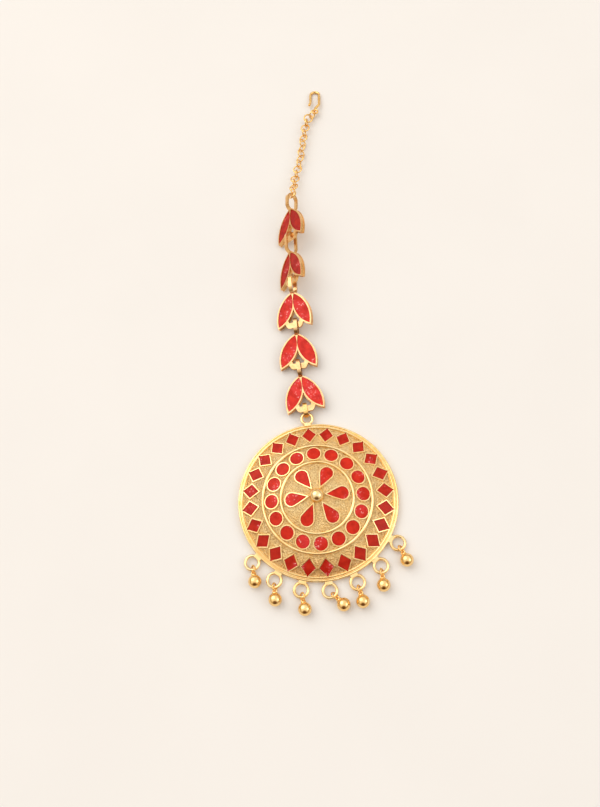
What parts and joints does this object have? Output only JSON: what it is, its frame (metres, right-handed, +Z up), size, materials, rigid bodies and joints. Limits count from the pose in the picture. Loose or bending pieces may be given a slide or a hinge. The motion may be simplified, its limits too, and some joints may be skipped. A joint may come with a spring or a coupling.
{
  "type": "maang tikka",
  "caption": "Maang tikka laid flat: a domed round enamelled pendant with ball drops, double-leaf enamelled links, a short round cable chain and a wire hair hook.",
  "frame": {"origin": "on the surface that it lies on, under the middle of the whole piece's footprint", "axes": "+Y from the pendant towards the hair hook, +Z up out of the pendant's face, +X to the right seen from above"},
  "size_m": [0.0472, 0.1724, 0.0096],
  "materials": {
    "gold": "gilded cast brass, bright rims over a fine stippled ground",
    "gold_wire": "gilded wire, bright",
    "gold_polished": "gilded, polished",
    "red_enamel": "glossy red enamel",
    "glitter_enamel": "glossy red enamel with fine glitter"
  },
  "bodies": {
    "root": {"pendant": "gold", "diamond_enamel": "red_enamel", "dot_enamel": "red_enamel", "petal_enamel_1": "red_enamel", "petal_enamel_2": "red_enamel", "petal_enamel_3": "red_enamel", "petal_enamel_4": "red_enamel", "petal_enamel_5": "red_enamel", "petal_enamel_6": "red_enamel", "drop_ring_1": "gold_wire", "drop_ball_1": "gold_polished", "drop_ring_2": "gold_wire", "drop_ball_2": "gold_polished", "drop_ring_3": "gold_wire", "drop_ball_3": "gold_polished", "drop_ring_4": "gold_wire", "drop_ball_4": "gold_polished", "drop_ring_5": "gold_wire", "drop_ball_5": "gold_polished", "drop_ring_6": "gold_wire", "drop_ball_6": "gold_polished", "drop_ring_7": "gold_wire", "drop_ball_7": "gold_polished", "leaf_link_1": "gold", "leaf_enamel_1": "glitter_enamel", "leaf_link_2": "gold", "leaf_enamel_2": "glitter_enamel", "leaf_link_3": "gold", "leaf_enamel_3": "glitter_enamel", "leaf_link_4": "gold", "leaf_enamel_4": "glitter_enamel", "leaf_link_5": "gold", "leaf_enamel_5": "glitter_enamel", "pendant_link": "gold_wire", "chain": "gold_wire", "jump_ring": "gold_wire", "hook_link": "gold_wire", "hook": "gold_wire"}
  },
  "joints": []
}
